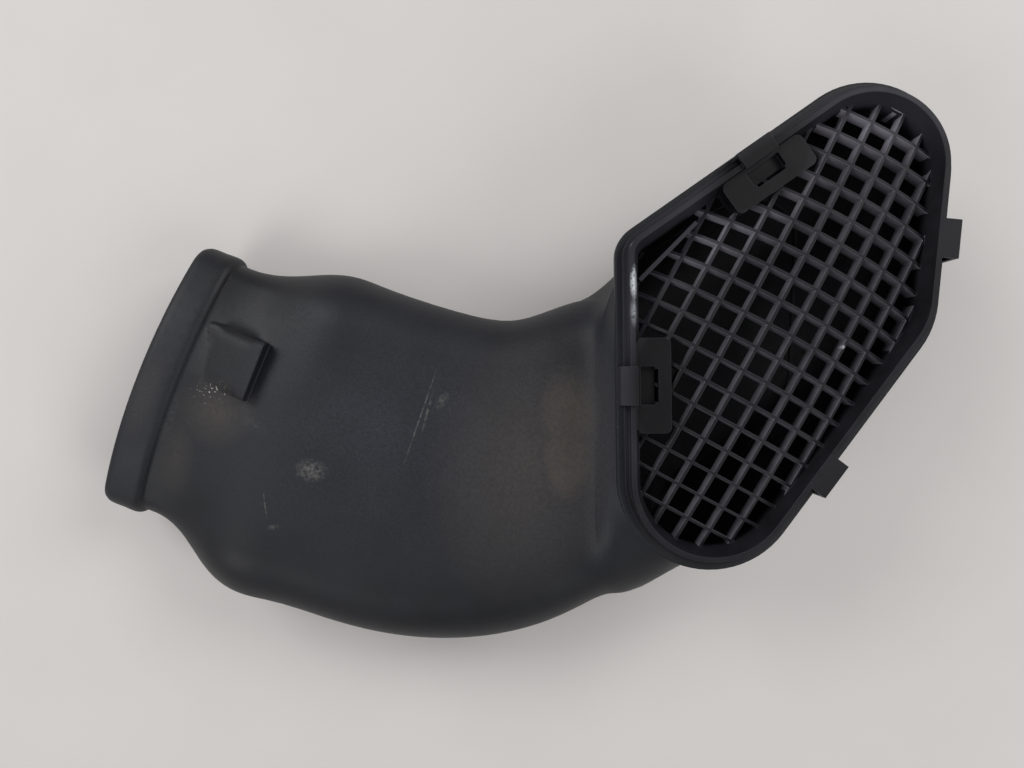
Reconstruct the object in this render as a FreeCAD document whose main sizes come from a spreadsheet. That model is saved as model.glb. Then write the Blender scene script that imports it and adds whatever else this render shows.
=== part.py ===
import FreeCAD, Part
import math
import os
from collections import namedtuple

import Sketcher

# Air intake duct: a blow-moulded shell and the mesh grille that clips over its mouth.
# X runs along the neck and trunk towards the elbow, Y across them and Z up from the table.

# Driving dimensions in millimetres and degrees: name, value, what it sets.
DIMENSIONS = (
    ("wall", 2.4, "moulded wall of the duct"),
    ("overrun", 2, "how far a cut runs past the face it opens"),
    ("least_round", 0.6, "smallest corner that can be moulded"),
    ("neck_width", 120.6, "oval neck, across"),
    ("neck_height", 44, "oval neck, top to bottom"),
    ("neck_round", 12, "round ends of the oval"),
    ("neck_flat", 2, "straight bit in the middle of each round end"),
    ("neck_axis_height", 26, "middle of the neck above the table"),
    ("neck_length", 27, "straight run of the neck"),
    ("collar_length", 17.5, "raised band at the neck's end"),
    ("collar_rise", 2.2, "height of that band"),
    ("collar_lead", 3, "rounded lead at each end of the band"),
    ("wedge_start", 19, "thin end of the retaining wedge"),
    ("wedge_end", 48.5, "steep end of the retaining wedge"),
    ("wedge_width", 26.4, "retaining wedge, across"),
    ("wedge_side", 19.2, "middle of the wedge, off the neck's axis"),
    ("wedge_rise", 2.6, "steep end above the trunk's top"),
    ("wedge_sink", 3, "thin end below the neck's top"),
    ("wedge_deep", 10, "wedge, top to bottom"),
    ("wedge_round", 2.4, "rounded edges of the wedge"),
    ("trunk_height", 54, "trunk, top to bottom"),
    ("trunk_round", 24, "corner of the trunk's section"),
    ("shoulder_station", 62, "where the shoulder ends"),
    ("shoulder_left", 72.5, "shoulder, left of the axis"),
    ("shoulder_right", 77, "shoulder, right of the axis"),
    ("shoulder_ease", 1.3, "how much lower and higher than the trunk its top and floor are there"),
    ("middle_station", 95, "middle of the trunk"),
    ("middle_left", 74.6, "trunk, left of the axis"),
    ("middle_right", 75.5, "trunk, right of the axis"),
    ("trunk_station", 128, "end of the straight trunk"),
    ("trunk_left", 77.6, "trunk's end, left of the axis"),
    ("trunk_right", 73, "trunk's end, right of the axis"),
    ("turn_station", 159.5, "middle of the turn into the elbow"),
    ("turn_side", 11.8, "middle of the turn, off the axis"),
    ("turn_half", 73.8, "half the width in the turn"),
    ("turn_yaw", 9.75, "how far the turn has swung"),
    ("elbow_station", 178.8, "elbow's hinge line, along the trunk"),
    ("elbow_side", 64.9, "elbow's hinge line, off the axis"),
    ("elbow_yaw", 21.4, "swing of the elbow from the trunk"),
    ("elbow_left", 37.3, "start of the elbow, left of the hinge point"),
    ("elbow_right", 101.5, "start of the elbow, right of the hinge point"),
    ("bend_inner", 16, "inner radius of the elbow"),
    ("inlet_reach", 25.5, "inlet corner above the bend, out from the hinge"),
    ("inlet_side", 49.7, "the same, along the hinge"),
    ("inlet_round", 13.5, "the same, radius at the flange"),
    ("far_reach", 111.1, "large far corner, out from the hinge"),
    ("far_side", 85.3, "the same, along the hinge"),
    ("far_round", 33.3, "the same, radius at the flange"),
    ("outer_reach", 104.6, "blunt outer corner, out from the hinge"),
    ("outer_side", 35, "the same, along the hinge"),
    ("outer_round", 34.8, "the same, radius at the flange"),
    ("near_reach", 49.3, "round near corner, out from the hinge"),
    ("near_side", -36.8, "the same, along the hinge"),
    ("near_round", 36.3, "the same, radius at the flange"),
    ("mouth_height", 80, "top of the mouth's flange"),
    ("flange_out", 4, "how far the flange stands out"),
    ("flange_thick", 4, "flange, top to bottom"),
    ("step_in", 2.6, "grille's lower step, in from the flange's edge"),
    ("step_rise", 3.2, "height of that step"),
    ("crest_in", 4.5, "grille's crest, in from the flange's edge"),
    ("crest_width", 2, "width of the crest"),
    ("crest_rise", 8, "crest above the flange"),
    ("dish_depth", 8.5, "sloping inner wall, top to bottom"),
    ("dish_in", 2.6, "how far that wall leans in"),
    ("dish_wall", 2, "thickness of that wall"),
    ("rim_drop", 10, "upright wall round the mesh, below the slope"),
    ("mesh_pitch", 10, "spacing of the mesh bars"),
    ("mesh_bar", 1.2, "thickness of a mesh bar"),
    ("mesh_depth", 7, "depth of a mesh bar"),
    ("mesh_yaw", -28.3, "turn of the mesh from the hinge's square"),
    ("mesh_reach", 69.44, "a crossing of the mesh, out from the hinge"),
    ("mesh_side", 22.74, "the same, along the hinge"),
    ("mesh_long", 220, "bar stock before trimming, the long way"),
    ("mesh_short", 160, "bar stock before trimming, the short way"),
    ("crown_rise", 3, "mesh's crown above the crest"),
    ("crown_radius", 93, "curve of the mesh across"),
    ("crown_sweep", 450, "curve of the mesh lengthways"),
    ("crown_reach", 78, "top of the crown, out from the hinge"),
    ("crown_side", 26, "the same, along the hinge"),
    ("corner_reach", 21.2, "wall across the inlet corner, its start out from the hinge"),
    ("corner_side", 40.4, "the same, along the hinge"),
    ("corner_turn", 45.5, "the same, its turn from the hinge's square"),
    ("corner_long", 31.5, "the same, its length"),
    ("corner_wall", 1.6, "the same, its thickness"),
    ("corner_drop", 4, "the same, its top below the crest"),
    ("corner_deep", 12, "the same, top to bottom"),
    ("hook_width", 15, "latches and lugs, along the edge"),
    ("hook_thick", 1.6, "thickness of their plates"),
    ("hook_barb", 1.3, "how far a lug's barb reaches under the flange"),
    ("hook_gap", 0.3, "clearance of the hooks round the flange"),
    ("latch_out", 0.5, "outer end of a latch plate, in from the flange's edge"),
    ("latch_in", 7.2, "inner end of a latch plate, in from the flange's edge"),
    ("housing_long", 37, "latch housing, along the edge"),
    ("housing_in", 20.5, "latch housing, in from the flange's edge"),
    ("housing_drop", 2, "its top below the crest"),
    ("housing_deep", 9, "latch housing, top to bottom"),
    ("housing_round", 5, "its corners"),
    ("panel_near", 8.6, "recess behind the latch, in from the flange's edge"),
    ("panel_far", 14.4, "far side of that recess"),
    ("panel_deep", 3, "depth of that recess"),
    ("slit_far", 15.6, "far side of the slit that frees the latch"),
    ("slit_long", 13, "slit, along the edge"),
)

ELBOW_STEPS = ((0.22, 30), (0.65, 60))
# Seats of the latches and lugs: name, run of the mouth's outline, share of that run.
LATCHES = (("bend_latch", 0, 0.58), ("side_latch", 3, 0.39))
LUGS = (("far_lug", 2, 0.48), ("near_lug", 1, 0.30))

OUTLINE_TOLERANCE = 0.05

Corner = namedtuple("Corner", "across up round bulge", defaults=(None,))
Circle = namedtuple("Circle", "centre radius bulge")


def make_sheet(doc):
    """Writes the driving dimensions into a spreadsheet with an alias for each."""
    sheet = doc.addObject("Spreadsheet::Sheet", "Dims")
    for row, (name, value, meaning) in enumerate(DIMENSIONS, start=1):
        sheet.set(f"A{row}", meaning)
        sheet.set(f"B{row}", str(value))
        sheet.setAlias(f"B{row}", name)
    doc.recompute()
    return sheet


def number(sheet, expression):
    """Value of an expression over the sheet's cells."""
    result = sheet.evalExpression(expression)
    return float(getattr(result, "Value", result))


def attach(sketch, body, role, offset):
    """Seats a sketch on one of its body's origin planes, moved by a placement expression."""
    plane = next(feature for feature in body.Origin.OriginFeatures if feature.Role == role)
    sketch.AttachmentSupport = [(plane, "")]
    sketch.MapMode = "FlatFace"
    sketch.setExpression("AttachmentOffset", offset)


def upright(station, side, height, yaw="0", pitch="0"):
    """Offset of a section that stands across the trunk, swung by yaw and leant back by pitch."""
    turn = f"rotation(vector(0; 1; 0); {yaw}) * rotation(vector(1; 0; 0); {pitch})"
    return f"placement(vector({side}; {height}; {station}); {turn})"


def level(height):
    """Offset of a level sketch whose X runs out from the elbow's hinge and Y along it."""
    spot = f"vector(Dims.elbow_station; Dims.elbow_side; {height})"
    return f"placement({spot}; rotation(vector(0; 0; 1); Dims.elbow_yaw))"


def belt_circles(sheet, corners):
    """Corner circles as numbers, each with the radius of the run that leaves it where that is an arc."""
    circles = []
    for corner in corners:
        centre = FreeCAD.Vector(number(sheet, corner.across), number(sheet, corner.up), 0)
        bulge = number(sheet, corner.bulge) if corner.bulge else None
        circles.append(Circle(centre, number(sheet, corner.round), bulge))
    return circles


def belt_runs(circles):
    """Ends of each run of a belt drawn round the circles, and the run's centre where it is an arc."""
    runs = []
    for start, end in zip(circles, circles[1:] + circles[:1]):
        along = end.centre - start.centre
        span = along.Length
        along.normalize()
        outward = FreeCAD.Vector(along.y, -along.x, 0)
        if start.bulge:
            depth = math.sqrt((start.bulge - start.radius) ** 2 - (span / 2) ** 2)
            hub = (start.centre + end.centre) * 0.5 - outward * depth
            ends = [hub + (circle.centre - hub).normalize() * start.bulge for circle in (start, end)]
            runs.append((*ends, hub))
        else:
            lean = (start.radius - end.radius) / span
            normal = along * lean + outward * math.sqrt(1 - lean * lean)
            runs.append((start.centre + normal * start.radius, end.centre + normal * end.radius, None))
    return runs


def arc(centre, start, end):
    """Arc round a centre, anticlockwise from start to end."""
    begin, finish = (math.atan2(point.y - centre.y, point.x - centre.x) for point in (start, end))
    if finish <= begin:
        finish += 2 * math.pi
    circle = Part.Circle(centre, FreeCAD.Vector(0, 0, 1), (start - centre).Length)
    return Part.ArcOfCircle(circle, begin, finish)


def tie(sketch, constraint, expression):
    """Adds a constraint whose value follows an expression."""
    sketch.setExpression(f"Constraints[{sketch.addConstraint(constraint)}]", expression)


def add_belt(sketch, sheet, corners):
    """Draws the closed outline round the corner circles and ties it to the sheet."""
    circles = belt_circles(sheet, corners)
    runs = belt_runs(circles)
    first = len(sketch.Geometry)
    for place, circle in enumerate(circles):
        start, end, hub = runs[place]
        sketch.addGeometry(arc(circle.centre, runs[place - 1][1], start))
        sketch.addGeometry(arc(hub, start, end) if hub else Part.LineSegment(start, end))
    for place, (corner, circle) in enumerate(zip(corners, circles)):
        bend = first + 2 * place
        run = bend + 1
        next_bend = first + 2 * ((place + 1) % len(corners))
        sketch.addConstraint(Sketcher.Constraint("Tangent", bend, 2, run, 1))
        sketch.addConstraint(Sketcher.Constraint("Tangent", run, 2, next_bend, 1))
        tie(sketch, Sketcher.Constraint("DistanceX", -1, 1, bend, 3, circle.centre.x), corner.across)
        tie(sketch, Sketcher.Constraint("DistanceY", -1, 1, bend, 3, circle.centre.y), corner.up)
        tie(sketch, Sketcher.Constraint("Radius", bend, circle.radius), corner.round)
        if circle.bulge:
            tie(sketch, Sketcher.Constraint("Radius", run, circle.bulge), corner.bulge)


def belt_sketch(body, sheet, name, role, offset, *outlines):
    """Sketch of one or more belts, one inside the other."""
    sketch = body.newObject("Sketcher::SketchObject", name)
    attach(sketch, body, role, offset)
    for corners in outlines:
        add_belt(sketch, sheet, corners)
    return sketch


def add_polygon(sketch, sheet, points):
    """Draws a closed polygon whose corners are pairs of expressions and ties it to the sheet."""
    first = len(sketch.Geometry)
    spots = [FreeCAD.Vector(number(sheet, x), number(sheet, y), 0) for x, y in points]
    for start, end in zip(spots, spots[1:] + spots[:1]):
        sketch.addGeometry(Part.LineSegment(start, end))
    for place, (x, y) in enumerate(points):
        line = first + place
        after = first + (place + 1) % len(points)
        sketch.addConstraint(Sketcher.Constraint("Coincident", line, 2, after, 1))
        tie(sketch, Sketcher.Constraint("DistanceX", -1, 1, line, 1, spots[place].x), x)
        tie(sketch, Sketcher.Constraint("DistanceY", -1, 1, line, 1, spots[place].y), y)


def rounding(radius, inset):
    """Corner radius after the outline has moved in by inset."""
    return f"max({radius} - ({inset}); Dims.least_round)"


def oblong(low, high, floor, top, radius, inset):
    """Corners of an upright oblong section, anticlockwise from the low right-hand one."""
    left, right = f"{high} - {radius}", f"{low} + {radius}"
    bottom, ceiling = f"{floor} + {radius}", f"{top} - {radius}"
    spots = ((right, bottom), (left, bottom), (left, ceiling), (right, ceiling))
    return [Corner(across, up, rounding(radius, inset)) for across, up in spots]


def neck_corners(inset):
    """Oval section of the neck, moved in by inset: round ends joined by flatter arcs above and below."""
    reach = "(Dims.neck_width / 2 - Dims.neck_round)"
    rise = "((Dims.neck_height - Dims.neck_flat) / 2)"
    crown = f"({reach}^2 + {rise}^2 - Dims.neck_round^2) / (2 * ({rise} - Dims.neck_round))"
    low, high = (f"Dims.neck_axis_height {sign} Dims.neck_flat / 2" for sign in "-+")
    size, arch = rounding("Dims.neck_round", inset), rounding(f"({crown})", inset)
    return [
        Corner(f"-{reach}", low, size, arch),
        Corner(reach, low, size),
        Corner(reach, high, size, arch),
        Corner(f"-{reach}", high, size),
    ]


def trunk_corners(low, high, inset, rise="0", ease="0"):
    """Section of the trunk between two sides; rise is the height that its sketch is drawn from."""
    floor, top = f"({ease} - {rise})", f"(Dims.trunk_height - {ease} - {rise})"
    return oblong(low, high, floor, top, "Dims.trunk_round", inset)


MOUTH = ("outer", "far", "inlet", "near")


def mouth_corners(inset):
    """Outline of the mouth in level sketches, anticlockwise from the corner above the bend."""
    return [
        Corner(f"Dims.{name}_reach", f"Dims.{name}_side", rounding(f"Dims.{name}_round", inset))
        for name in ("inlet", "near", "outer", "far")
    ]


def fan_mouth_corners(inset):
    """The same outline on the elbow's fan of sections, in the order of the trunk's corners."""
    return [
        Corner(f"Dims.{name}_side", f"-Dims.{name}_reach", rounding(f"Dims.{name}_round", inset))
        for name in MOUTH
    ]


def fan_corners(share, angle, inset):
    """Section part of the way round the elbow; the outer wall follows a quarter ellipse."""
    hinge = "(Dims.trunk_height + Dims.bend_inner)"
    corners = []
    for name in MOUTH:
        full = f"(Dims.{name}_round - Dims.flange_out)"
        radius = f"(Dims.trunk_round * (1 - {share}) + {full} * {share})"
        sign = "+" if name in ("far", "inlet") else "-"
        start = "Dims.elbow_left" if sign == "+" else "-Dims.elbow_right"
        edge = f"(({start}) * (1 - {share}) + (Dims.{name}_side {sign} {full}) * {share})"
        inward = "-" if sign == "+" else "+"
        if name in ("outer", "far"):
            span = f"(Dims.{name}_reach + {full})"
            reach = f"1 / sqrt((sin({angle} deg) / {span})^2 + (cos({angle} deg) / {hinge})^2)"
            up = f"{radius} - {reach}"
        else:
            up = f"-Dims.bend_inner - {radius}"
        corners.append(Corner(f"{edge} {inward} {radius}", up, rounding(radius, inset)))
    return corners


def duct_sections(inset, overrun):
    """Sections of the duct from the neck's end to the mouth: name, offset and corners."""
    hinge = "(Dims.trunk_height + Dims.bend_inner)"
    station, side, yaw = "Dims.elbow_station", "Dims.elbow_side", "Dims.elbow_yaw"
    sections = [
        ("neck_end", upright(f"-({overrun})", "0", "0"), neck_corners(inset)),
        ("neck_middle", upright("Dims.neck_length / 2", "0", "0"), neck_corners(inset)),
        ("neck_root", upright("Dims.neck_length", "0", "0"), neck_corners(inset)),
    ]
    for name, ease in (("shoulder", "Dims.shoulder_ease"), ("middle", "0"), ("trunk", "0")):
        corners = trunk_corners(f"-Dims.{name}_right", f"Dims.{name}_left", inset, ease=ease)
        sections.append((name, upright(f"Dims.{name}_station", "0", "0"), corners))
    turn = trunk_corners("-Dims.turn_half", "Dims.turn_half", inset)
    sections.append(("turn", upright("Dims.turn_station", "Dims.turn_side", "0", "Dims.turn_yaw"), turn))
    start = trunk_corners("-Dims.elbow_right", "Dims.elbow_left", inset, hinge)
    sections.append(("elbow", upright(station, side, hinge, yaw), start))
    for share, angle in ELBOW_STEPS:
        offset = upright(station, side, hinge, yaw, f"-{angle}")
        sections.append((f"elbow_{angle}", offset, fan_corners(share, angle, inset)))
    mouth = fan_mouth_corners(f"Dims.flange_out + {inset}")
    sections.append(("throat", upright(station, side, hinge, yaw, "-90"), mouth))
    top = f"Dims.mouth_height + {overrun}"
    sections.append(("mouth", upright(station, side, top, yaw, "-90"), mouth))
    return sections


def loft(body, sheet, kind, name, sections, role="YZ_Plane", ruled=False):
    """Adds or cuts a loft through belt sections."""
    sketches = [
        belt_sketch(body, sheet, f"{name}_{label}", role, offset, corners)
        for label, offset, corners in sections
    ]
    feature = body.newObject(f"PartDesign::{kind}", name)
    feature.Profile = sketches[0]
    feature.Sections = sketches[1:]
    feature.Ruled = ruled
    return feature


def pad(body, name, sketch, length, reverse=False):
    """Pads a sketch by a length expression."""
    feature = body.newObject("PartDesign::Pad", name)
    feature.Profile = sketch
    feature.setExpression("Length", length)
    feature.Reversed = reverse
    return feature


def make_collar(body, sheet):
    """Raised band round the neck's end, with rounded leads."""
    stops = (
        ("front", "0", "-Dims.collar_rise / 2"),
        ("crown", "Dims.collar_lead", "-Dims.collar_rise"),
        ("middle", "Dims.collar_length / 2", "-Dims.collar_rise"),
        ("back", "Dims.collar_length - Dims.collar_lead", "-Dims.collar_rise"),
        ("foot", "Dims.collar_length", "Dims.wall / 4"),
    )
    sections = [(name, upright(at, "0", "0"), neck_corners(inset)) for name, at, inset in stops]
    loft(body, sheet, "AdditiveLoft", "collar", sections)


def make_wedge(body, sheet):
    """Retaining wedge on top of the neck, steep towards the trunk."""
    low, high = (f"(Dims.wedge_side {sign} Dims.wedge_width / 2)" for sign in "-+")
    neck_top = "Dims.neck_axis_height + Dims.neck_height / 2"
    sections = []
    for name, station, top in (
        ("thin", "Dims.wedge_start", f"({neck_top} - Dims.wedge_sink)"),
        ("steep", "Dims.wedge_end", "(Dims.trunk_height + Dims.wedge_rise)"),
    ):
        corners = oblong(low, high, f"({top} - Dims.wedge_deep)", top, "Dims.wedge_round", "0")
        sections.append((name, upright(station, "0", "0"), corners))
    loft(body, sheet, "AdditiveLoft", "wedge", sections, ruled=True)


def make_duct(doc, sheet):
    """The blow-moulded shell, from the neck to the flanged mouth."""
    body = doc.addObject("PartDesign::Body", "duct_body")
    loft(body, sheet, "AdditiveLoft", "shell", duct_sections("0", "0"))
    make_collar(body, sheet)
    make_wedge(body, sheet)
    bottom = "Dims.mouth_height - Dims.flange_thick"
    flange = belt_sketch(body, sheet, "flange_outline", "XY_Plane", level(bottom), mouth_corners("0"))
    pad(body, "flange", flange, "Dims.flange_thick")
    loft(body, sheet, "SubtractiveLoft", "bore", duct_sections("Dims.wall", "Dims.overrun"))
    return body


def make_frame(doc, sheet):
    """The grille's stepped rim, its sloping inner wall and the upright wall round the mesh."""
    body = doc.addObject("PartDesign::Body", "grille_frame")
    seat, crest = "Dims.mouth_height", "Dims.mouth_height + Dims.crest_rise"
    foot = f"{crest} - Dims.dish_depth"
    edge = "(Dims.crest_in + Dims.crest_width)"
    sections = [
        ("foot", level(foot), mouth_corners(f"{edge} + Dims.dish_in - Dims.dish_wall")),
        ("head", level(crest), mouth_corners(f"{edge} - Dims.dish_wall")),
    ]
    loft(body, sheet, "AdditiveLoft", "dish", sections, "XY_Plane", ruled=True)
    for name, height, inset, length, down in (
        ("rim", foot, f"{edge} + Dims.dish_in - Dims.dish_wall", "Dims.rim_drop", True),
        ("step", seat, "Dims.step_in", "Dims.step_rise", False),
        ("crest", seat, "Dims.crest_in", "Dims.crest_rise", False),
    ):
        corners = mouth_corners(inset)
        outline = belt_sketch(body, sheet, f"{name}_outline", "XY_Plane", level(height), corners)
        pad(body, name, outline, length, reverse=down)
    hollow = [
        ("foot", level(foot), mouth_corners(f"{edge} + Dims.dish_in")),
        ("head", level(f"{crest} + Dims.overrun"),
         mouth_corners(f"{edge} - Dims.overrun * Dims.dish_in / Dims.dish_depth")),
    ]
    loft(body, sheet, "SubtractiveLoft", "dish_hollow", hollow, "XY_Plane", ruled=True)
    inner = belt_sketch(body, sheet, "rim_hollow_outline", "XY_Plane", level(foot),
                        mouth_corners(f"{edge} + Dims.dish_in"))
    pocket(body, "rim_hollow", inner, "Dims.rim_drop + Dims.overrun")
    for name, run, share in LATCHES:
        make_latch(body, sheet, name, edge_seat(sheet, run, share))
    for name, run, share in LUGS:
        make_lug(body, sheet, name, edge_seat(sheet, run, share))
    make_corner_wall(body, sheet)
    return body


Seat = namedtuple("Seat", "east north swing")


def edge_seat(sheet, run, share):
    """Point on the flange's edge, part of the way along a run, and the way out across the edge there."""
    start, end, _ = belt_runs(belt_circles(sheet, mouth_corners("0")))[run]
    spot = start + (end - start) * share
    along = (end - start).normalize()
    yaw = math.degrees(math.atan2(-along.x, along.y))
    east = f"Dims.elbow_station + {spot.x:.6f} * cos(Dims.elbow_yaw) - {spot.y:.6f} * sin(Dims.elbow_yaw)"
    north = f"Dims.elbow_side + {spot.x:.6f} * sin(Dims.elbow_yaw) + {spot.y:.6f} * cos(Dims.elbow_yaw)"
    return Seat(f"({east})", f"({north})", f"(Dims.elbow_yaw + {yaw:.6f})")


def edge_profile(body, sheet, name, seat, points):
    """Pads a profile that stands across the flange's edge, as wide as a hook."""
    half = "Dims.hook_width / 2"
    side = f"{seat.east} - {half} * sin({seat.swing}); 0; -{seat.north} - {half} * cos({seat.swing})"
    sketch = body.newObject("Sketcher::SketchObject", f"{name}_profile")
    attach(sketch, body, "XZ_Plane", f"placement(vector({side}); rotation(vector(0; 1; 0); {seat.swing}))")
    add_polygon(sketch, sheet, points)
    pad(body, name, sketch, "Dims.hook_width")


def edge_plan(seat, height):
    """Offset of a level sketch whose X runs out across the flange's edge."""
    spot = f"vector({seat.east}; {seat.north}; {height})"
    return f"placement({spot}; rotation(vector(0; 0; 1); {seat.swing}))"


def plan_block(sheet, body, name, seat, height, near, far, length, radius):
    """Level rounded rectangle between two distances in from the flange's edge."""
    half = f"{length} / 2"
    corners = [
        Corner(f"-({reach}) {inward} {radius}", f"{side} {back} {radius}", radius)
        for reach, inward, side, back in (
            (far, "+", f"-{half}", "+"),
            (near, "-", f"-{half}", "+"),
            (near, "-", half, "-"),
            (far, "+", half, "-"),
        )
    ]
    return belt_sketch(body, sheet, name, "XY_Plane", edge_plan(seat, height), corners)


def pocket(body, name, sketch, depth):
    """Cuts a sketch downwards by a depth expression."""
    cut = body.newObject("PartDesign::Pocket", name)
    cut.Profile = sketch
    cut.setExpression("Length", depth)
    return cut


def make_latch(body, sheet, name, seat):
    """Springy latch over the rim, with its housing, the recess behind it and the slit that frees it."""
    crest = "Dims.mouth_height + Dims.crest_rise"
    top = f"{crest} - Dims.housing_drop"
    inside = "Dims.crest_in + Dims.crest_width + Dims.dish_in - Dims.dish_wall"
    block = plan_block(sheet, body, f"{name}_housing_outline", seat, top, inside, "Dims.housing_in",
                       "Dims.housing_long", "Dims.housing_round / 2")
    pad(body, f"{name}_housing", block, "Dims.housing_deep", reverse=True)
    panel = plan_block(sheet, body, f"{name}_panel_outline", seat, top, "Dims.panel_near", "Dims.panel_far",
                       "Dims.hook_width", "Dims.least_round")
    pocket(body, f"{name}_panel", panel, "Dims.panel_deep")
    slit = plan_block(sheet, body, f"{name}_slit_outline", seat, top, "Dims.panel_far", "Dims.slit_far",
                      "Dims.slit_long", "Dims.least_round / 2")
    pocket(body, f"{name}_slit", slit, "Dims.housing_deep + Dims.overrun")
    leg, foot = "-(Dims.latch_out + Dims.hook_thick)", "Dims.mouth_height + Dims.hook_gap"
    points = (
        ("-Dims.latch_in", crest),
        (leg, crest),
        (leg, foot),
        ("-Dims.latch_out", foot),
        ("-Dims.latch_out", f"{crest} + Dims.hook_thick"),
        ("-Dims.latch_in", f"{crest} + Dims.hook_thick"),
    )
    edge_profile(body, sheet, name, seat, points)


def make_lug(body, sheet, name, seat):
    """Fixed lug that leaves the crest, goes down past the flange and catches under it."""
    crest = "Dims.mouth_height + Dims.crest_rise"
    inside = "-(Dims.crest_in + Dims.crest_width / 2)"
    under = "Dims.mouth_height - Dims.flange_thick - Dims.hook_gap"
    outside = "Dims.hook_gap + Dims.hook_thick"
    points = (
        (inside, f"{crest} - Dims.hook_thick"),
        ("Dims.hook_gap", f"{crest} - Dims.hook_thick"),
        ("Dims.hook_gap", under),
        ("Dims.hook_gap - Dims.hook_barb", under),
        ("Dims.hook_gap", f"{under} - Dims.hook_barb - Dims.hook_thick"),
        (outside, f"{under} - Dims.hook_barb - Dims.hook_thick"),
        (outside, crest),
        (inside, crest),
    )
    edge_profile(body, sheet, name, seat, points)


def corner_place(height):
    """Placement at the start of the corner wall, with X along it and Y towards the open corner."""
    turn = "rotation(vector(0; 0; 1); Dims.elbow_yaw + Dims.corner_turn)"
    return f"placement({hinge_spot('corner', height)}; {turn})"


def make_corner_wall(body, sheet):
    """Upright wall that ends the mesh across the inlet corner and leaves the corner open."""
    top = "Dims.mouth_height + Dims.crest_rise - Dims.corner_drop"
    sketch = body.newObject("Sketcher::SketchObject", "corner_wall_outline")
    attach(sketch, body, "XY_Plane", corner_place(top))
    half = "Dims.corner_wall / 2"
    points = (("0", f"-{half}"), ("Dims.corner_long", f"-{half}"), ("Dims.corner_long", half), ("0", half))
    add_polygon(sketch, sheet, points)
    pad(body, "corner_wall", sketch, "Dims.corner_deep", reverse=True)


def make_corner_clear(doc):
    """Block that clears the mesh from the open corner."""
    block = doc.addObject("Part::Box", "corner_clear")
    for side in ("Length", "Width"):
        block.setExpression(side, "Dims.corner_long")
    block.setExpression("Height", "Dims.mesh_short")
    block.setExpression("Placement", corner_place("Dims.mouth_height - Dims.mesh_short / 2"))
    return block


def make_stock(doc, sheet):
    """Flat block pierced by square cells, before it is trimmed and crowned."""
    pitch, bar = number(sheet, "Dims.mesh_pitch"), number(sheet, "Dims.mesh_bar")
    height = number(sheet, "Dims.mesh_long") / 2
    rows, columns = (int(number(sheet, f"Dims.mesh_{way}") / 2 / pitch) for way in ("long", "short"))
    open_side = pitch - bar
    half_across, half_along = columns * pitch + bar, rows * pitch + bar
    outer = rectangle(-half_across, -half_along, half_across, half_along)
    cells = []
    for column in range(-columns, columns):
        for row in range(-rows, rows):
            left, low = column * pitch + bar / 2, row * pitch + bar / 2
            cells.append(rectangle(left, low, left + open_side, low + open_side))
    plate = Part.makeFace([outer] + cells, "Part::FaceMakerBullseye")
    stock = doc.addObject("Part::Feature", "mesh_stock")
    stock.Shape = plate.extrude(FreeCAD.Vector(0, 0, height))
    turn = "rotation(vector(0; 0; 1); Dims.elbow_yaw + Dims.mesh_yaw)"
    spot = hinge_spot("mesh", "Dims.mouth_height - Dims.mesh_long / 4")
    stock.setExpression("Placement", f"placement({spot}; {turn})")
    return stock


def rectangle(left, low, right, high):
    """Closed rectangular wire."""
    corners = ((left, low), (right, low), (right, high), (left, high), (left, low))
    return Part.makePolygon([FreeCAD.Vector(x, y, 0) for x, y in corners])


def hinge_spot(name, height):
    """Point given by its reach out from the elbow's hinge and its side along it."""
    reach, side = f"Dims.{name}_reach", f"Dims.{name}_side"
    east = f"Dims.elbow_station + {reach} * cos(Dims.elbow_yaw) - {side} * sin(Dims.elbow_yaw)"
    north = f"Dims.elbow_side + {reach} * sin(Dims.elbow_yaw) + {side} * cos(Dims.elbow_yaw)"
    return f"vector({east}; {north}; {height})"


def make_crown(doc, name, depth):
    """Ring whose top gives the mesh its barrel crown, lowered by depth."""
    ring = doc.addObject("Part::Torus", name)
    ring.setExpression("Radius1", "Dims.crown_sweep - Dims.crown_radius")
    ring.setExpression("Radius2", f"Dims.crown_radius - ({depth})")
    spot = hinge_spot("crown", "Dims.mouth_height + Dims.crest_rise + Dims.crown_rise - Dims.crown_sweep")
    turn = "rotation(vector(0; 0; 1); Dims.elbow_yaw + Dims.mesh_yaw) * rotation(vector(0; 1; 0); 90)"
    ring.setExpression("Placement", f"placement({spot}; {turn})")
    return ring


def make_trim(doc, sheet):
    """Plug whose sides run through the middle of the dish's wall, where the bars end."""
    body = doc.addObject("PartDesign::Body", "mesh_trim")
    crest = "Dims.mouth_height + Dims.crest_rise"
    edge = "Dims.crest_in + Dims.crest_width - Dims.dish_wall / 2"
    rise = "(Dims.crown_rise + Dims.overrun)"
    sections = [
        ("foot", level(f"{crest} - Dims.dish_depth"), mouth_corners(f"{edge} + Dims.dish_in")),
        ("head", level(f"{crest} + {rise}"),
         mouth_corners(f"{edge} - {rise} * Dims.dish_in / Dims.dish_depth")),
    ]
    loft(body, sheet, "AdditiveLoft", "trim", sections, "XY_Plane", ruled=True)
    below = belt_sketch(body, sheet, "trim_outline", "XY_Plane", level(f"{crest} - Dims.dish_depth"),
                        mouth_corners(f"{edge} + Dims.dish_in"))
    pad(body, "trim_below", below, "Dims.rim_drop", reverse=True)
    return body


def boolean(doc, kind, name, base, tool):
    """Part boolean of two objects."""
    feature = doc.addObject(f"Part::{kind}", name)
    feature.Base = base
    feature.Tool = tool
    return feature


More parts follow.
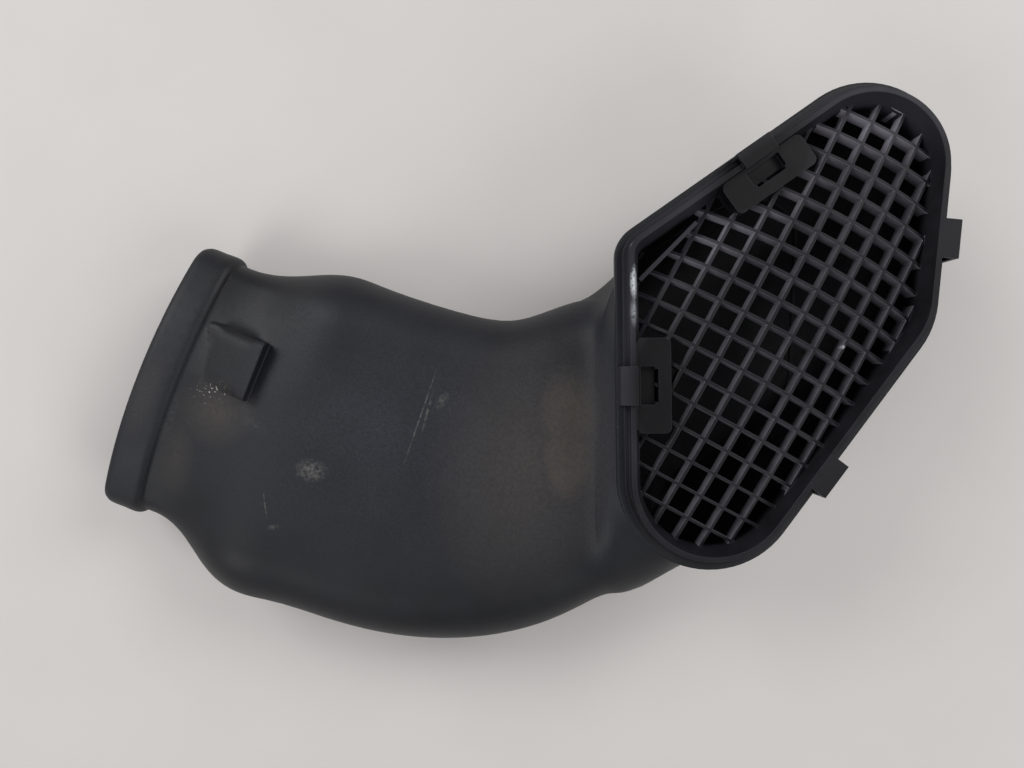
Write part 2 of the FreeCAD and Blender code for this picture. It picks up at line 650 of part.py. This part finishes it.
def make_grille(doc, sheet):
    """The whole grille: rim, dish, hooks and the crowned mesh."""
    frame = make_frame(doc, sheet)
    trimmed = boolean(doc, "Common", "trimmed_mesh", make_stock(doc, sheet), make_trim(doc, sheet))
    cornered = boolean(doc, "Cut", "cornered_mesh", trimmed, make_corner_clear(doc))
    crowned = boolean(doc, "Common", "crowned_mesh", cornered, make_crown(doc, "crown_top", "0"))
    mesh = boolean(doc, "Cut", "mesh", crowned, make_crown(doc, "crown_under", "Dims.mesh_depth"))
    return boolean(doc, "Fuse", "intake_grille", frame, mesh)


def check(doc, pieces):
    """Stops if any object failed or any piece has no sound shape."""
    for thing in doc.Objects:
        if "Invalid" in thing.State or "Error" in thing.State:
            raise RuntimeError(f"{thing.Name} failed: {thing.State}")
    for piece in pieces:
        if piece.Shape.isNull() or not piece.Shape.isValid():
            raise RuntimeError(f"{piece.Label} has no sound shape")


def stand(pieces):
    """Moves all pieces together so that the middle of the part's underside is at the origin."""
    box = FreeCAD.BoundBox()
    for piece in pieces:
        points, _ = piece.Shape.tessellate(OUTLINE_TOLERANCE)
        for point in points:
            box.add(point)
    shift = FreeCAD.Placement(FreeCAD.Vector(-box.Center.x, -box.Center.y, -box.ZMin), FreeCAD.Rotation())
    for piece in pieces:
        piece.Placement = shift * piece.Placement
    return shift


def main():
    doc = FreeCAD.newDocument("air_intake_duct")
    sheet = make_sheet(doc)
    pieces = [make_duct(doc, sheet), make_grille(doc, sheet)]
    doc.recompute()
    check(doc, pieces)
    print("moved by", stand(pieces).Base)
    check(doc, pieces)
    os.makedirs("parts", exist_ok=True)
    for piece in pieces:
        box = piece.Shape.BoundBox
        print(piece.Label, len(piece.Shape.Solids), round(piece.Shape.Volume), box)
        piece.Shape.exportStep(f"parts/{piece.Label}.step")


main()
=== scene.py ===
"""Looks of the air intake duct: two black moulded plastics with their wear and dust, on a pale table."""

import math

import bmesh
import bpy
from bpy.props import FloatProperty, FloatVectorProperty, PointerProperty
from bpy.types import Operator, Panel, PropertyGroup
from mathutils import Euler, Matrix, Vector
from mathutils.kdtree import KDTree


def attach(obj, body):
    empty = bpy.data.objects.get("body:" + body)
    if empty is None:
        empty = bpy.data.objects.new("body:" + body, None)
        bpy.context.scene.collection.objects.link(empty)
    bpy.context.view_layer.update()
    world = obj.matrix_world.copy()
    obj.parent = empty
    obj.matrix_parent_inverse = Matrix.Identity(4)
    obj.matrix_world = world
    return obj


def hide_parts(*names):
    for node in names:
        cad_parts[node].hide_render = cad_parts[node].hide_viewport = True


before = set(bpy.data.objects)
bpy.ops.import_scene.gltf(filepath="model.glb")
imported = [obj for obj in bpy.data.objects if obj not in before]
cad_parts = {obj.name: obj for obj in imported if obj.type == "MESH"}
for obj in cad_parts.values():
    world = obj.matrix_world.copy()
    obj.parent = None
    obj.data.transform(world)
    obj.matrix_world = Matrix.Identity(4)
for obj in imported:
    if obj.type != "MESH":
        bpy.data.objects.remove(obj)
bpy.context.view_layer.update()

bl_info = {
    "name": "Air intake duct looks",
    "version": (1, 0, 0),
    "blender": (4, 5, 0),
    "location": "View3D > Sidebar > Intake duct",
    "description": "Dresses the packed air intake duct and sets its stage",
    "category": "Object",
}

MM = 0.001
MERGE_GAP = 0.002 * MM

# Edges sharper than these stay crisp.
SHELL_CREASE = math.radians(35)
GRILLE_CREASE = math.radians(25)

# How light a finish is against the plain plastic or board. The trunk's is painted light with wear, the
# inlet walls' painted light, the latch housings' painted shade and the edges' a painted highlight with
# wear.
LIT_AND_WORN = 4.6
HAZY = 1.4
LIT = 3.2
SHADE_TONE = 0.4
EDGE_HIGHLIGHT_AND_WEAR = 5
SHADED = 0.93

# Marks: x, y and z of the middle, length, width and reach down in mm, turn in degrees, strength.
SCRATCHES = (
    (-28.1, -43.0, 54.0, 54.0, 0.9, 9.0, 92.2, 1.0),
    (-26.0, -40.0, 54.0, 22.0, 1.6, 9.0, 96.0, 0.8),
    (-76.2, -101.6, 52.0, 15.0, 0.8, 12.0, -59.5, 1.0),
    (-69.4, -109.5, 50.0, 7.0, 3.0, 12.0, 30.0, 0.8),
    (-2.0, 8.0, 54.0, 16.0, 0.6, 9.0, 60.0, 0.6),
)
SCUFFS = (
    (-63.1, -81.0, 54.0, 16.0, 11.0, 9.0, 15.0, 1.0),
    (-22.0, -33.0, 54.0, 10.0, 5.0, 9.0, 75.0, 0.6),
)
SMEARS = (
    (-127.9, -42.0, 48.0, 30.0, 8.0, 12.0, 91.2, 0.5),
    (-130.2, -82.2, 46.0, 30.0, 6.0, 12.0, 88.4, 0.5),
    (-93.3, -72.1, 52.0, 16.0, 7.0, 12.0, -13.6, 0.5),
    (-94.5, -21.8, 52.0, 30.0, 20.0, 14.0, 21.4, 0.4),
)
# Lighter patches over the trunk: painted light, together with the plastic's wear.
LIT_AND_WORN_PATCHES = (
    (-42.0, -54.0, 54.0, 190.0, 140.0, 60.0, 10.0, 1.0),
    (34.0, -24.0, 54.0, 150.0, 110.0, 60.0, 111.4, 1.2),
    (-143.0, -72.0, 40.0, 130.0, 40.0, 60.0, 88.4, 0.6),
)
DUST_PATCHES = (
    (30.0, -20.0, 55.0, 54.0, 34.0, 18.0, 111.4, 0.9),
    (36.0, -36.0, 55.0, 50.0, 30.0, 18.0, 111.4, 1.0),
    (22.0, -42.0, 54.0, 130.0, 90.0, 18.0, 95.0, 0.35),
    (-111.0, -73.0, 48.0, 40.0, 34.0, 16.0, 21.4, 0.4),
    (-122.0, -98.0, 46.0, 40.0, 18.0, 16.0, 100.0, 0.25),
    (-143.0, -78.0, 44.0, 46.0, 16.0, 16.0, 88.4, 0.3),
)
SPECK_PATCHES = (
    (-117.0, -66.0, 48.0, 26.0, 12.0, 12.0, 21.4, 1.0),
    (46.4, -18.0, 80.5, 8.0, 5.0, 6.0, 21.4, 1.0),
)
# Pale spots on the grille: the two in the inlet corner are a painted glint.
GLINT_SPOTS = (
    (33.0, 38.2, 88.6, 15.0, 4.6, 8.0, 111.4, 0.9),
    (37.0, 27.7, 88.6, 13.0, 4.4, 8.0, 111.4, 0.28),
    (116.0, 44.1, 89.0, 2.0, 2.0, 6.0, 0.0, 0.7),
    (67.0, -14.0, 87.0, 3.0, 3.0, 6.0, 0.0, 0.8),
)
# Painted shade on the latch housings.
HOUSING_SHADE = (
    (56.5, 4.5, 86.6, 66.0, 30.0, 14.0, 111.4, 1.0),
    (63.8, 95.5, 86.6, 66.0, 30.0, 14.0, 57.7, 1.0),
)
# Painted light on the grille's walls along the inlet corner.
LIT_WALLS = (
    (55.0, 80.0, 80.0, 130.0, 50.0, 30.0, 57.7, 1.0),
    (42.0, 15.0, 84.0, 120.0, 26.0, 30.0, 111.4, 0.9),
    (98.0, 134.0, 83.0, 80.0, 40.0, 30.0, 20.0, 0.9),
)

# Softening runs in rounds. A point moves no further than this in one, so the inner wall stays inside.
ROUNDS = 2
MOST_SHIFT = 1.0 * MM

# Share of the way in from a region's border over which the softening fades.
BORDER_FADE = 0.35

# Moulded folds that are softer than the CAD's: middle, size, turn in degrees, outward facing,
# width of the strips it is cut into, reach of the softening. Lengths are in mm.
FOLDS = (
    ((-114.5, -50.5, 50.0), (21.0, 46.0, 40.0), 0.0, (0.3, 0.0, 1.0), 1.5, 5.0),
    ((51.0, -34.0, 44.0), (44.0, 144.0, 60.0), 21.4, (-0.6, -0.5, 0.6), 2.5, 10.0),
)

# Soft lamps: name, metres to the right and up in the picture, share of the light.
LAMPS = (
    ("lamp_upper_left", -0.8, 0.6, 0.33),
    ("lamp_upper_right", 0.8, 0.6, 0.31),
    ("lamp_lower_left", -0.8, -0.6, 0.19),
    ("lamp_lower_right", 0.8, -0.6, 0.17),
)

# Width of each lamp, its height above the table and half the table's width, in metres.
LAMP_WIDTH = 0.7
LAMP_HEIGHT = 0.9
TABLE_HALF = 3.0

# Width of the frame that the lens is given for, in mm.
FRAME_WIDTH = 36.0

# Turn of the mesh bars about the upright, in degrees, how near to it a bar's sides lie, and their lean.
BAR_TURN = -6.9
BAR_SLACK = 1.5
BAR_LEAN = 0.05


def linear(code):
    """Linear colour of an sRGB hex code."""
    shares = [int(code[place:place + 2], 16) / 255 for place in (1, 3, 5)]
    return tuple(s / 12.92 if s <= 0.04045 else ((s + 0.055) / 1.055) ** 2.4 for s in shares)


def tinted(colour, share=1):
    """Opaque colour for a socket, so many times as light as the one given."""
    return (*(c * share for c in colour), 1)


class DuctFinish(PropertyGroup):
    """Finish of the blow-moulded shell."""

    colour: FloatVectorProperty(
        name="Plastic", description="Colour of the shell's plastic", subtype="COLOR",
        default=linear("#111217"), min=0, max=1)
    dust: FloatVectorProperty(
        name="Dust", description="Colour of the road dust on it", subtype="COLOR",
        default=linear("#57504a"), min=0, max=1)
    scuff: FloatVectorProperty(
        name="Scuff", description="Colour of scratched plastic", subtype="COLOR",
        default=linear("#63625f"), min=0, max=1)
    speck: FloatVectorProperty(
        name="Speck", description="Colour of pale grit", subtype="COLOR",
        default=linear("#b9b4ad"), min=0, max=1)
    grain: FloatProperty(
        name="Grain", description="Width of the moulded grain in mm, coarse enough to show",
        default=0.9, min=0.1, max=10)
    softness: FloatProperty(
        name="Softness", description="Rounding of the shell's edges", subtype="DISTANCE", unit="LENGTH",
        default=1.4 * MM, min=0, max=10 * MM)
    seam: FloatProperty(
        name="Seam", description="Height of the mould's parting line", subtype="DISTANCE", unit="LENGTH",
        default=27.0 * MM, min=0, max=80 * MM)


class GrilleFinish(PropertyGroup):
    """Finish of the injection-moulded grille."""

    colour: FloatVectorProperty(
        name="Plastic", description="Colour of the grille's plastic", subtype="COLOR",
        default=linear("#1a191d"), min=0, max=1)
    # The bar sides get a lighter colour than the plastic: painted light on the sides, together with dust.
    bars: FloatVectorProperty(
        name="Bars", description="Colour of the dusty sides of the mesh bars", subtype="COLOR",
        default=linear("#605e64"), min=0, max=1)
    # Colour of the pale spots, a painted glint in the inlet corner.
    glint: FloatVectorProperty(
        name="Glint", description="Colour of the pale residue in its corner", subtype="COLOR",
        default=linear("#c9cdd2"), min=0, max=1)


class StageSettings(PropertyGroup):
    """Table, light and camera."""

    table: FloatVectorProperty(
        name="Table", description="Colour of the table top", subtype="COLOR",
        default=linear("#dcd8d5"), min=0, max=1)
    room: FloatProperty(
        name="Room light", description="Strength of the even light of the room", default=0.31, min=0, max=2)
    lamp: FloatProperty(
        name="Lamps", description="Strength of all the soft lamps together", subtype="POWER",
        unit="POWER", default=17.6, min=0, max=100)
    camera_spot: FloatVectorProperty(
        name="Camera", description="Where the camera hangs above the duct", subtype="XYZ", unit="LENGTH",
        default=(3.2 * MM, -15.4 * MM, 390.5 * MM))
    camera_turn: FloatProperty(
        name="Turn", description="Turn of the picture about the upright", subtype="ANGLE",
        unit="ROTATION", default=math.radians(21.4))
    lens: FloatProperty(
        name="Lens", description="Focal length on a 36 mm wide frame, in mm", default=27.7, min=10, max=100)


def node(tree, kind, feeds=(), out=0, **settings):
    """Adds a node with its settings, links or sets each input and returns one of its outputs."""
    made = tree.nodes.new(kind)
    for name, setting in settings.items():
        setattr(made, name, setting)
    for place, feed in dict(feeds).items():
        if isinstance(feed, bpy.types.NodeSocket):
            tree.links.new(feed, made.inputs[place])
        else:
            made.inputs[place].default_value = feed
    return made.outputs[out] if made.outputs else made


def new_material(name):
    """Empty node material, with its tree and its object coordinates."""
    material = bpy.data.materials.new(name)
    material.use_nodes = True
    tree = material.node_tree
    tree.nodes.clear()
    return material, tree, node(tree, "ShaderNodeTexCoord", out="Object")


def spots(tree, place, marks):
    """Soft oval spots where the marks lie, as strong as each says in its middle and 0 outside."""
    total = 0.0
    for x, y, z, length, width, deep, turn, strength in marks:
        local = node(tree, "ShaderNodeMapping", {
            "Vector": place,
            "Location": (x * MM, y * MM, z * MM),
            "Rotation": (0, 0, math.radians(turn)),
            "Scale": (length / 2 * MM, width / 2 * MM, deep * MM),
        }, vector_type="TEXTURE")
        fade = node(tree, "ShaderNodeTexGradient", {"Vector": local}, "Fac", gradient_type="SPHERICAL")
        spot = node(tree, "ShaderNodeMath", {0: fade, 1: strength}, operation="MULTIPLY")
        total = node(tree, "ShaderNodeMath", {0: total, 1: spot}, operation="MAXIMUM")
    return total


def close(material, tree, colour, roughness, reliefs, **values):
    """Ends a material in a principled shader; each relief is a height and its depth in mm."""
    feeds = {"Base Color": colour, "Roughness": roughness, **values}
    for height, depth in reliefs:
        bump = {"Height": height, "Distance": depth * MM}
        if "Normal" in feeds:
            bump["Normal"] = feeds["Normal"]
        feeds["Normal"] = node(tree, "ShaderNodeBump", bump)
    shader = node(tree, "ShaderNodeBsdfPrincipled", feeds)
    node(tree, "ShaderNodeOutputMaterial", {"Surface": shader})
    return material


def blow_moulded_polyethylene(finish):
    """High-density polyethylene blown against a grained mould: dull black, cloudy, pale where scratched,
    with painted light on the trunk.
    """
    material, tree, place = new_material("blow_moulded_polyethylene")
    grain = node(tree, "ShaderNodeTexNoise", {
        "Vector": place, "Scale": 1 / (finish.grain * MM), "Detail": 3.0})
    cloud = node(tree, "ShaderNodeTexNoise", {"Vector": place, "Scale": 1 / (30 * MM), "Detail": 4.0})
    haze = node(tree, "ShaderNodeMapRange", {"Value": cloud, "From Min": 0.35, "From Max": 0.65})
    mottle = node(tree, "ShaderNodeMapRange", {"Value": grain, "From Min": 0.15, "From Max": 0.85})
    clean, lit_and_worn = tinted(finish.colour), tinted(finish.colour, LIT_AND_WORN)
    # Painted light lightens the trunk in these patches, together with the plastic's wear.
    lit_and_worn_share = spots(tree, place, LIT_AND_WORN_PATCHES)
    cloudy = node(tree, "ShaderNodeMath", {0: haze, 1: 0.3, 2: lit_and_worn_share}, operation="MULTIPLY_ADD")
    share = node(tree, "ShaderNodeMath", {0: cloudy, 1: mottle}, operation="MULTIPLY")
    plastic = node(tree, "ShaderNodeMix", {0: share, 6: clean, 7: lit_and_worn}, 2, data_type="RGBA")
    # Dust lies in soft patches of fine grit.
    grit = node(tree, "ShaderNodeTexNoise", {"Vector": place, "Scale": 1 / (1.8 * MM), "Detail": 8.0})
    gritty = node(tree, "ShaderNodeMapRange", {"Value": grit, "From Min": -0.3, "From Max": 0.9})
    patch = node(tree, "ShaderNodeMapRange", {"Value": spots(tree, place, DUST_PATCHES), "From Max": 0.6})
    dust = node(tree, "ShaderNodeMath", {0: patch, 1: gritty}, operation="MULTIPLY")
    dust_and_light = node(tree, "ShaderNodeMix", {0: dust, 6: plastic, 7: tinted(finish.dust)}, 2, data_type="RGBA")
    # Scratches and scuffs break up along their length, and smears stay faint.
    breaks = node(tree, "ShaderNodeTexNoise", {"Vector": place, "Scale": 1 / (1.6 * MM), "Detail": 3.0})
    broken = node(tree, "ShaderNodeMapRange", {"Value": breaks, "From Min": 0.36, "From Max": 0.6})
    mark = spots(tree, place, SCRATCHES + SCUFFS)
    worn_and_highlit = node(tree, "ShaderNodeMath", {0: spots(tree, place, SMEARS), 1: 0.3}, operation="MULTIPLY")
    wear = node(tree, "ShaderNodeMath", {0: mark, 1: worn_and_highlit}, operation="MAXIMUM")
    scratch = node(tree, "ShaderNodeMath", {0: wear, 1: broken}, operation="MULTIPLY")
    worn = node(tree, "ShaderNodeMix", {0: scratch, 6: dust_and_light, 7: tinted(finish.scuff)}, 2, data_type="RGBA")
    # Pale specks are single grains, drawn half a millimetre wide so that they show.
    fleck = node(tree, "ShaderNodeTexNoise", {"Vector": place, "Scale": 1 / (1.1 * MM), "Detail": 0.0})
    grains = node(tree, "ShaderNodeMapRange", {"Value": fleck, "From Min": 0.7, "From Max": 0.8})
    strewn = spots(tree, place, SPECK_PATCHES)
    specks = node(tree, "ShaderNodeMath", {0: grains, 1: strewn}, operation="MULTIPLY")
    colour = node(tree, "ShaderNodeMix", {0: specks, 6: worn, 7: tinted(finish.speck)}, 2, data_type="RGBA")
    matt = node(tree, "ShaderNodeMath", {0: haze, 1: 0.10, 2: 0.48}, operation="MULTIPLY_ADD")
    roughness = node(tree, "ShaderNodeMath", {0: dust, 1: 0.35, 2: matt}, operation="MULTIPLY_ADD")
    # The mould's two halves leave a fine ridge round the trunk.
    height = node(tree, "ShaderNodeSeparateXYZ", {"Vector": place}, "Z")
    off = node(tree, "ShaderNodeMath", {0: height, 1: finish.seam}, operation="SUBTRACT")
    near = node(tree, "ShaderNodeMath", {0: off}, operation="ABSOLUTE")
    ridge = node(tree, "ShaderNodeMapRange", {
        "Value": near, "From Max": 0.6 * MM, "To Min": 1.0, "To Max": 0.0})
    reliefs = ((grain, 0.08), (ridge, 0.35))
    # Blown plastic has no crisp edge anywhere.
    soft = node(tree, "ShaderNodeBevel", {"Radius": finish.softness}, samples=6)
    dull = {"IOR": 1.54, "Specular IOR Level": 0.36, "Normal": soft}
    return close(material, tree, colour, roughness, reliefs, **dull)


def moulded_polypropylene(name, colour, glint):
    """Polypropylene injected into a smooth mould: fine-grained black, hazy, pale along its edges as a
    painted highlight with rubbed wear.
    """
    material, tree, place = new_material(name)
    grain = node(tree, "ShaderNodeTexNoise", {"Vector": place, "Scale": 1 / (0.8 * MM), "Detail": 2.0})
    flow = node(tree, "ShaderNodeTexNoise", {"Vector": place, "Scale": 1 / (9 * MM), "Detail": 4.0})
    haze = node(tree, "ShaderNodeMapRange", {"Value": flow, "From Min": 0.35, "From Max": 0.65})
    clean, hazy = tinted(colour), tinted(colour, HAZY)
    plastic = node(tree, "ShaderNodeMix", {0: haze, 6: clean, 7: hazy}, 2, data_type="RGBA")
    # Painted light brightens the walls along the inlet corner, and painted shade darkens the latch
    # housings.
    wall_light = node(tree, "ShaderNodeMapRange", {"Value": spots(tree, place, LIT_WALLS), "From Max": 0.6})
    pale = tinted(colour, LIT)
    dust_and_light = node(tree, "ShaderNodeMix", {0: wall_light, 6: plastic, 7: pale}, 2, data_type="RGBA")
    shade_share = node(tree, "ShaderNodeMapRange", {"Value": spots(tree, place, HOUSING_SHADE), "From Max": 0.4})
    dark = tinted(colour, SHADE_TONE)
    shaded_housings = node(tree, "ShaderNodeMix", {0: shade_share, 6: dust_and_light, 7: dark}, 2, data_type="RGBA")
    # An edge is where the rounded normal leaves the flat one; the edges are painted pale, a painted
    # highlight together with rubbed wear.
    rounded = node(tree, "ShaderNodeBevel", {"Radius": 0.5 * MM}, samples=6)
    flat = node(tree, "ShaderNodeNewGeometry", out="Normal")
    along = node(tree, "ShaderNodeVectorMath", {0: rounded, 1: flat}, "Value", operation="DOT_PRODUCT")
    edge = node(tree, "ShaderNodeMapRange", {
        "Value": along, "From Min": 0.98, "From Max": 0.8, "To Max": 0.7})
    worn_and_highlit = tinted(colour, EDGE_HIGHLIGHT_AND_WEAR)
    edged = node(tree, "ShaderNodeMix", {0: edge, 6: shaded_housings, 7: worn_and_highlit}, 2, data_type="RGBA")
    ragged = node(tree, "ShaderNodeMapRange", {"Value": grain, "From Min": 0.3, "From Max": 0.5})
    # The pale spots, the two in the inlet corner a painted glint.
    core = node(tree, "ShaderNodeMapRange", {"Value": spots(tree, place, GLINT_SPOTS), "From Max": 0.5})
    patch = node(tree, "ShaderNodeMath", {0: core, 1: ragged}, operation="MULTIPLY")
    mixed = node(tree, "ShaderNodeMix", {0: patch, 6: edged, 7: tinted(glint)}, 2, data_type="RGBA")
    roughness = node(tree, "ShaderNodeMath", {0: haze, 1: 0.12, 2: 0.44}, operation="MULTIPLY_ADD")
    dull = {"IOR": 1.49, "Specular IOR Level": 0.22, "Normal": rounded}
    return close(material, tree, mixed, roughness, ((grain, 0.02),), **dull)


def lacquered_board(settings):
    """White lacquered board: pale, almost even, with a broad soft sheen."""
    material, tree, place = new_material("lacquered_board")
    shade = node(tree, "ShaderNodeTexNoise", {"Vector": place, "Scale": 1 / (70 * MM), "Detail": 3.0})
    bright, dim = tinted(settings.table), tinted(settings.table, SHADED)
    colour = node(tree, "ShaderNodeMix", {0: shade, 6: bright, 7: dim}, 2, data_type="RGBA")
    roughness = node(tree, "ShaderNodeMath", {0: shade, 1: 0.06, 2: 0.6}, operation="MULTIPLY_ADD")
    return close(material, tree, colour, roughness, ((shade, 0.02),), IOR=1.5)


def connected(start, faces):
    """Those of the faces that can be reached from the first without leaving them."""
    left = set(faces)
    left.discard(start)
    reached, edge = {start}, [start]
    while edge:
        beside = {other for side in edge.pop().edges for other in side.link_faces} & left
        left -= beside
        reached |= beside
        edge.extend(beside)
    return reached


def soften(skin, middle, size, turn, facing, pitch, spread):
    """Cuts a region's outside into strips and moves its points towards the mean of those near them."""
    middle = Vector(middle) * MM
    axes = Euler((0, 0, math.radians(turn))).to_matrix()
    outward = axes @ Vector(facing)
    half = [length / 2 * MM for length in size]

    def inside(point):
        """Share of the way in from the region's border, below 0 outside it."""
        off = axes.transposed() @ (point - middle)
        return 1 - max(abs(off[way]) / half[way] for way in range(3))

    near = [f for f in skin.faces if inside(f.calc_center_median()) > 0]
    outermost = max(near, key=lambda f: f.calc_center_median().dot(outward))
    outside = connected(outermost, near)
    # The faces, edges and points keep the mesh's own order, so that each run gives the same result.
    faces = [f for f in near if f in outside]
    region = [*faces, *dict.fromkeys(e for f in faces for e in f.edges),
              *dict.fromkeys(v for f in faces for v in f.verts)]
    for way in (0, 1):
        for strip in range(1, int(size[way] / pitch)):
            spot = middle + axes.col[way] * (strip * pitch * MM - half[way])
            cut = bmesh.ops.bisect_plane(
                skin, geom=region, dist=MERGE_GAP, plane_co=spot, plane_no=axes.col[way])
            region = cut["geom"]
    faces = [f for f in region if isinstance(f, bmesh.types.BMFace)]
    points = list(dict.fromkeys(v for f in faces for v in f.verts))
    for _ in range(ROUNDS):
        tree = KDTree(len(points))
        for place, point in enumerate(points):
            tree.insert(point.co, place)
        tree.balance()
        weights = [sum(f.calc_area() for f in point.link_faces) for point in points]
        moved = []
        for point in points:
            share = min(max(inside(point.co) / BORDER_FADE, 0), 1)
            mean, total = Vector(), 0
            for spot, place, gap in tree.find_range(point.co, spread * MM) if share else ():
                weight = weights[place] * (1 - gap / (spread * MM)) ** 2
                mean += spot * weight
                total += weight
            shift = mean / total - point.co if total else Vector()
            shift.length = min(shift.length, MOST_SHIFT)
            moved.append(point.co + shift * share)
        for point, spot in zip(points, moved):
            point.co = spot


def merged_copy(source, name, crease, folds=()):
    """Copy of a CAD node as one joined skin, smooth except across edges sharper than crease."""
    skin = bmesh.new()
    skin.from_mesh(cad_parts[source].data)
    bmesh.ops.remove_doubles(skin, verts=skin.verts, dist=MERGE_GAP)
    for fold in folds:
        soften(skin, *fold)
    skin.normal_update()
    for face in skin.faces:
        face.smooth = True
    for edge in skin.edges:
        edge.smooth = edge.is_manifold and edge.calc_face_angle() < crease
    mesh = bpy.data.meshes.new(name)
    skin.to_mesh(mesh)
    skin.free()
    piece = bpy.data.objects.new(name, mesh)
    bpy.context.scene.collection.objects.link(piece)
    return piece


def seat(piece, source, slot, *materials):
    """Gives a piece its materials and puts it in its CAD node's place."""
    for material in materials:
        piece.data.materials.append(material)
    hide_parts(source)
    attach(piece, "root")


class INTAKE_OT_duct_shell(Operator):
    """Dress the blow-moulded shell"""

    bl_idname = "intake.duct_shell"
    bl_label = "Duct shell"

    def execute(self, context):
        shell = merged_copy("duct_body", "duct_shell", SHELL_CREASE, FOLDS)
        seat(shell, "duct_body", "blow_moulded_plastic",
             blow_moulded_polyethylene(context.scene.intake_duct))
        return {"FINISHED"}


def on_bar_side(normal):
    """Whether a face with this normal is the side of a mesh bar."""
    turn = (math.degrees(math.atan2(normal.y, normal.x)) - BAR_TURN) % 90
    return abs(normal.z) < BAR_LEAN and min(turn, 90 - turn) < BAR_SLACK


class INTAKE_OT_mesh_grille(Operator):
    """Dress the clip-in mesh grille"""

    bl_idname = "intake.mesh_grille"
    bl_label = "Mesh grille"

    def execute(self, context):
        finish = context.scene.intake_grille
        grille = merged_copy("intake_grille", "mesh_grille", GRILLE_CREASE)
        # The second copy, for the bar sides, is lighter: painted light on the sides, together with dust.
        seat(grille, "intake_grille", "grille_plastic",
             moulded_polypropylene("moulded_polypropylene", finish.colour, finish.glint),
             moulded_polypropylene("dust_and_light_polypropylene", finish.bars, finish.glint))
        for face in grille.data.polygons:
            face.material_index = int(on_bar_side(face.normal))
        return {"FINISHED"}


class INTAKE_OT_stage(Operator):
    """Set the table, the light and the camera"""

    bl_idname = "intake.stage"
    bl_label = "Stage"

    def execute(self, context):
        settings = context.scene.intake_stage
        make_table(context, settings)
        make_light(context, settings)
        make_camera(context, settings)
        return {"FINISHED"}


def make_table(context, settings):
    """Pale table top under the duct."""
    top = bmesh.new()
    bmesh.ops.create_grid(top, x_segments=1, y_segments=1, size=TABLE_HALF)
    mesh = bpy.data.meshes.new("table_top")
    top.to_mesh(mesh)
    top.free()
    table = bpy.data.objects.new("table_top", mesh)
    mesh.materials.append(lacquered_board(settings))
    context.scene.collection.objects.link(table)


def make_light(context, settings):
    """Even light of a room and four soft lamps round the duct, brightest at the picture's upper left."""
    room = context.scene.world or bpy.data.worlds.new("room")
    context.scene.world = room
    room.use_nodes = True
    glow = room.node_tree.nodes["Background"].inputs
    glow["Color"].default_value = (0.97, 0.98, 1.0, 1)
    glow["Strength"].default_value = settings.room
    turn = settings.camera_turn
    across = Vector((math.cos(turn), math.sin(turn), 0))
    upward = Vector((-math.sin(turn), math.cos(turn), 0))
    target = Vector((settings.camera_spot[0], settings.camera_spot[1], 0))
    for name, right, up, share in LAMPS:
        lamp = bpy.data.lights.new(name, "AREA")
        lamp.shape = "DISK"
        lamp.size = LAMP_WIDTH
        lamp.energy = settings.lamp * share
        lantern = bpy.data.objects.new(name, lamp)
        lantern.location = target + across * right + upward * up + Vector((0, 0, LAMP_HEIGHT))
        lantern.rotation_euler = (target - lantern.location).to_track_quat("-Z", "Y").to_euler()
        context.scene.collection.objects.link(lantern)
    context.scene.view_settings.view_transform = "Standard"


def make_camera(context, settings):
    """Camera straight above the duct, as the photograph was taken."""
    camera = bpy.data.cameras.new("camera")
    camera.sensor_width = FRAME_WIDTH
    camera.lens = settings.lens
    camera.clip_start = 0.01
    eye = bpy.data.objects.new("camera", camera)
    eye.location = settings.camera_spot
    eye.rotation_euler = Euler((0, 0, settings.camera_turn))
    context.scene.collection.objects.link(eye)
    context.scene.camera = eye


class INTAKE_PT_panel(Panel):
    """Operators and settings of the intake duct"""

    bl_label = "Intake duct"
    bl_idname = "INTAKE_PT_panel"
    bl_space_type = "VIEW_3D"
    bl_region_type = "UI"
    bl_category = "Intake duct"

    def draw(self, context):
        groups = (
            (INTAKE_OT_duct_shell, context.scene.intake_duct),
            (INTAKE_OT_mesh_grille, context.scene.intake_grille),
            (INTAKE_OT_stage, context.scene.intake_stage),
        )
        for operator, settings in groups:
            box = self.layout.box()
            box.operator(operator.bl_idname)
            for name in settings.__annotations__:
                box.prop(settings, name)


CLASSES = (
    DuctFinish,
    GrilleFinish,
    StageSettings,
    INTAKE_OT_duct_shell,
    INTAKE_OT_mesh_grille,
    INTAKE_OT_stage,
    INTAKE_PT_panel,
)


def register():
    for group in CLASSES:
        bpy.utils.register_class(group)
    bpy.types.Scene.intake_duct = PointerProperty(type=DuctFinish)
    bpy.types.Scene.intake_grille = PointerProperty(type=GrilleFinish)
    bpy.types.Scene.intake_stage = PointerProperty(type=StageSettings)


def unregister():
    del bpy.types.Scene.intake_stage
    del bpy.types.Scene.intake_grille
    del bpy.types.Scene.intake_duct
    for group in reversed(CLASSES):
        bpy.utils.unregister_class(group)


def main():
    register()
    bpy.ops.intake.duct_shell()
    bpy.ops.intake.mesh_grille()
    bpy.ops.intake.stage()


if __name__ == "__main__":
    main()
